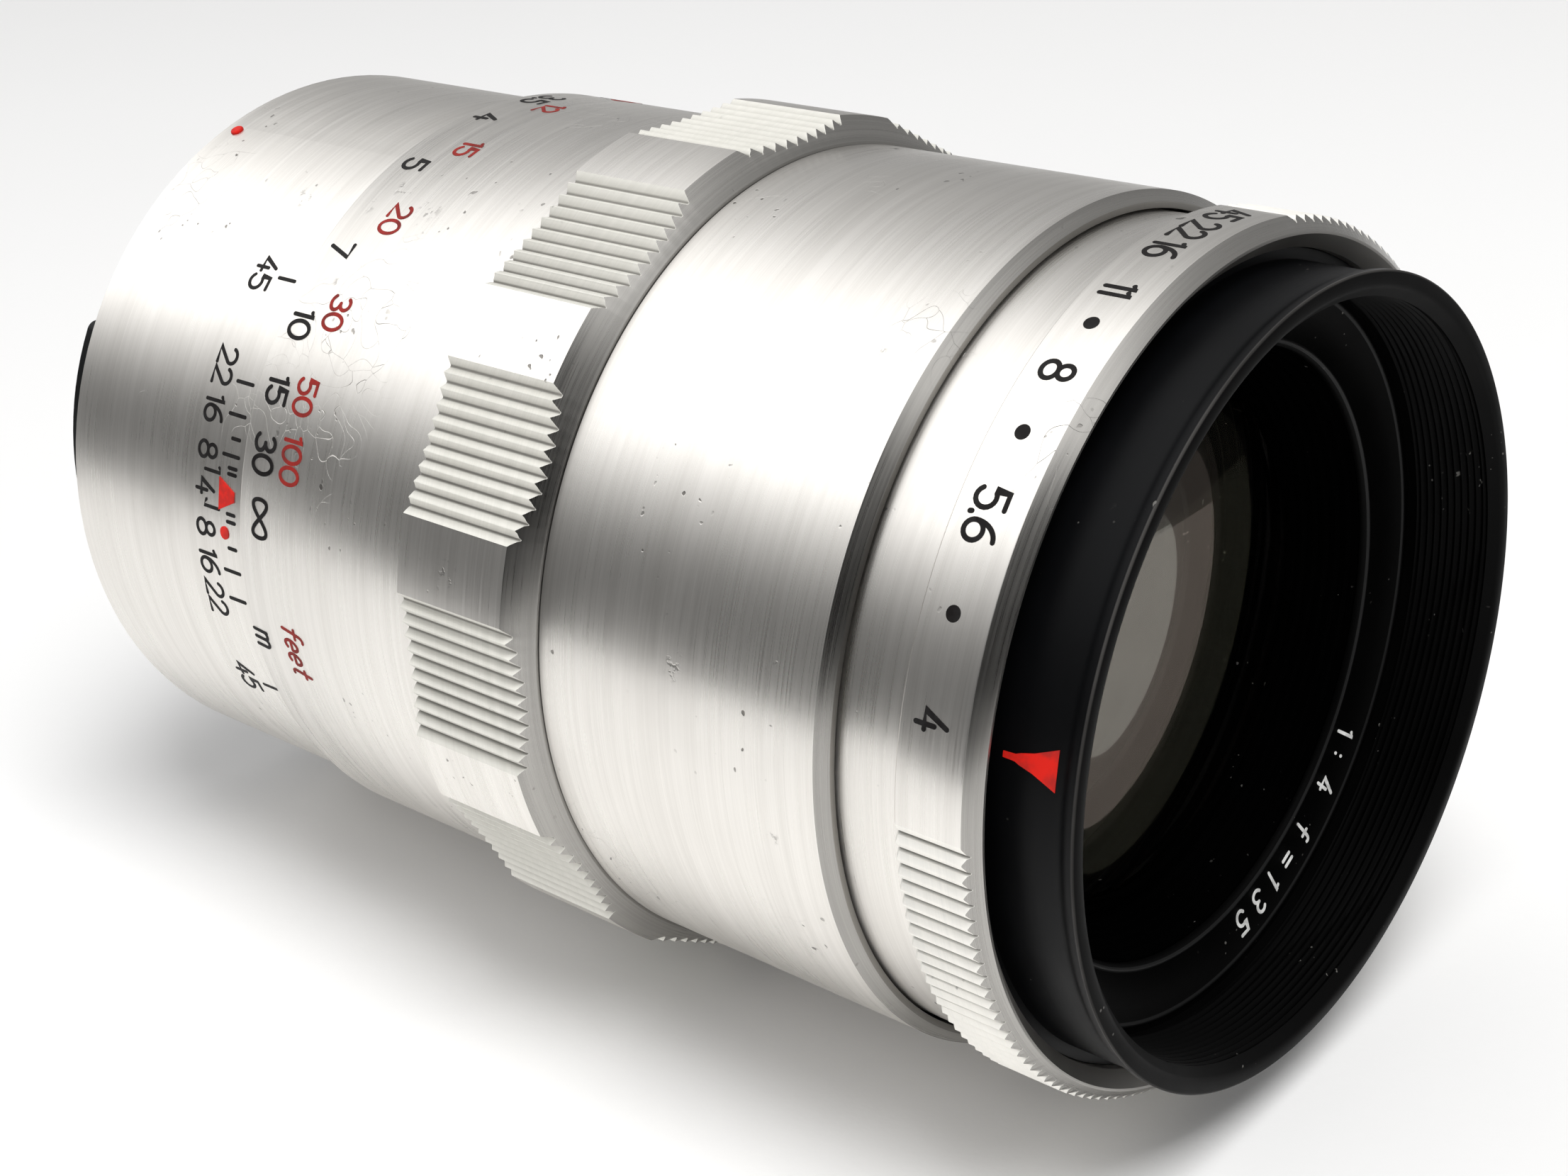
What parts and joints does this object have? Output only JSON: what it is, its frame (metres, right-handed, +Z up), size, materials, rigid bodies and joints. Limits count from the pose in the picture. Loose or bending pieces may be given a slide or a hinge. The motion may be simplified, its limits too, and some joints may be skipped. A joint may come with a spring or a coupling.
{
  "type": "prime camera lens",
  "caption": "Metal telephoto prime lens on its side: helicoid focusing ring with lobed grip, aperture ring with working iris, glass elements, filter thread and bayonet.",
  "frame": {"origin": "centre of the rear mounting flange face, on the optical axis", "axes": "+Y along the optical axis out of the camera side, the front of the lens faces -Y; +Z is up with the lens lying on its side"},
  "size_m": [0.0592, 0.0954, 0.0592],
  "materials": {
    "bright_aluminium": "satin turned",
    "black_metal": "black anodised satin",
    "brass": "machined",
    "steel": "turned",
    "blade_steel": "blued",
    "red_enamel": "glossy",
    "coated_glass": "coated polished"
  },
  "bodies": {
    "rear_body": {"rear_barrel": "bright_aluminium", "mount_ring": "black_metal", "mount_screws": "steel", "alignment_dot": "red_enamel", "guide_key": "steel", "guide_key_screws": "steel"},
    "head": {"main_barrel": "bright_aluminium", "head_tube": "black_metal", "captive_ring": "brass", "light_baffle": "black_metal", "iris_housing": "black_metal", "iris_cover": "black_metal", "front_ring": "black_metal", "name_ring": "black_metal", "front_cell": "black_metal", "front_retainer": "black_metal", "front_element": "coated_glass", "element_spacer": "black_metal", "middle_element": "coated_glass", "rear_cell": "black_metal", "rear_element_front": "coated_glass", "rear_element_back": "coated_glass", "rear_retainer": "black_metal"},
    "focusing": {"focus_ring": "bright_aluminium", "focus_helicoid": "brass", "focus_ring_screws": "steel"},
    "aperture_control": {"aperture_ring": "bright_aluminium", "aperture_link_pin": "steel", "iris_actuator": "brass"},
    "blade_01": {"iris_blade_01": "blade_steel"},
    "blade_02": {"iris_blade_02": "blade_steel"},
    "blade_03": {"iris_blade_03": "blade_steel"},
    "blade_04": {"iris_blade_04": "blade_steel"},
    "blade_05": {"iris_blade_05": "blade_steel"},
    "blade_06": {"iris_blade_06": "blade_steel"},
    "blade_07": {"iris_blade_07": "blade_steel"},
    "blade_08": {"iris_blade_08": "blade_steel"},
    "blade_09": {"iris_blade_09": "blade_steel"},
    "blade_10": {"iris_blade_10": "blade_steel"}
  },
  "joints": [
    {"name": "head_slide", "type": "slide", "parent": "rear_body", "child": "head", "axis": [0, -1, 0], "range_m": [0, 0.015]},
    {"name": "focus_turn", "type": "hinge", "parent": "head", "child": "focusing", "pos_m": [0, -0.045, 0], "axis": [0, -1, 0], "range_deg": [0, 221]},
    {"name": "aperture_turn", "type": "hinge", "parent": "head", "child": "aperture_control", "pos_m": [0, -0.08, 0], "axis": [0, -1, 0], "range_deg": [0, 79.3]},
    {"name": "blade_01_swing", "type": "hinge", "parent": "head", "child": "blade_01", "pos_m": [0, -0.0586, 0.0225], "axis": [0, -1, 0], "range_deg": [0, 33.5]},
    {"name": "blade_02_swing", "type": "hinge", "parent": "head", "child": "blade_02", "pos_m": [0.01323, -0.0588, 0.0182], "axis": [0, -1, 0], "range_deg": [0, 33.5]},
    {"name": "blade_03_swing", "type": "hinge", "parent": "head", "child": "blade_03", "pos_m": [0.0214, -0.059, 0.00695], "axis": [0, -1, 0], "range_deg": [0, 33.5]},
    {"name": "blade_04_swing", "type": "hinge", "parent": "head", "child": "blade_04", "pos_m": [0.0214, -0.0592, -0.00695], "axis": [0, -1, 0], "range_deg": [0, 33.5]},
    {"name": "blade_05_swing", "type": "hinge", "parent": "head", "child": "blade_05", "pos_m": [0.01323, -0.0594, -0.0182], "axis": [0, -1, 0], "range_deg": [0, 33.5]},
    {"name": "blade_06_swing", "type": "hinge", "parent": "head", "child": "blade_06", "pos_m": [0, -0.0596, -0.0225], "axis": [0, -1, 0], "range_deg": [0, 33.5]},
    {"name": "blade_07_swing", "type": "hinge", "parent": "head", "child": "blade_07", "pos_m": [-0.01323, -0.0598, -0.0182], "axis": [0, -1, 0], "range_deg": [0, 33.5]},
    {"name": "blade_08_swing", "type": "hinge", "parent": "head", "child": "blade_08", "pos_m": [-0.0214, -0.06, -0.00695], "axis": [0, -1, 0], "range_deg": [0, 33.5]},
    {"name": "blade_09_swing", "type": "hinge", "parent": "head", "child": "blade_09", "pos_m": [-0.0214, -0.0602, 0.00695], "axis": [0, -1, 0], "range_deg": [0, 33.5]},
    {"name": "blade_10_swing", "type": "hinge", "parent": "head", "child": "blade_10", "pos_m": [-0.01323, -0.0604, 0.0182], "axis": [0, -1, 0], "range_deg": [0, 33.5]}
  ],
  "couplings": [
    {"joint": "head_slide", "follows": "focus_turn", "m_per_rad": 0.0038834},
    {"joint": "blade_01_swing", "follows": "aperture_turn", "ratio": 0.42181},
    {"joint": "blade_02_swing", "follows": "aperture_turn", "ratio": 0.42181},
    {"joint": "blade_03_swing", "follows": "aperture_turn", "ratio": 0.42181},
    {"joint": "blade_04_swing", "follows": "aperture_turn", "ratio": 0.42181},
    {"joint": "blade_05_swing", "follows": "aperture_turn", "ratio": 0.42181},
    {"joint": "blade_06_swing", "follows": "aperture_turn", "ratio": 0.42181},
    {"joint": "blade_07_swing", "follows": "aperture_turn", "ratio": 0.42181},
    {"joint": "blade_08_swing", "follows": "aperture_turn", "ratio": 0.42181},
    {"joint": "blade_09_swing", "follows": "aperture_turn", "ratio": 0.42181},
    {"joint": "blade_10_swing", "follows": "aperture_turn", "ratio": 0.42181}
  ]
}
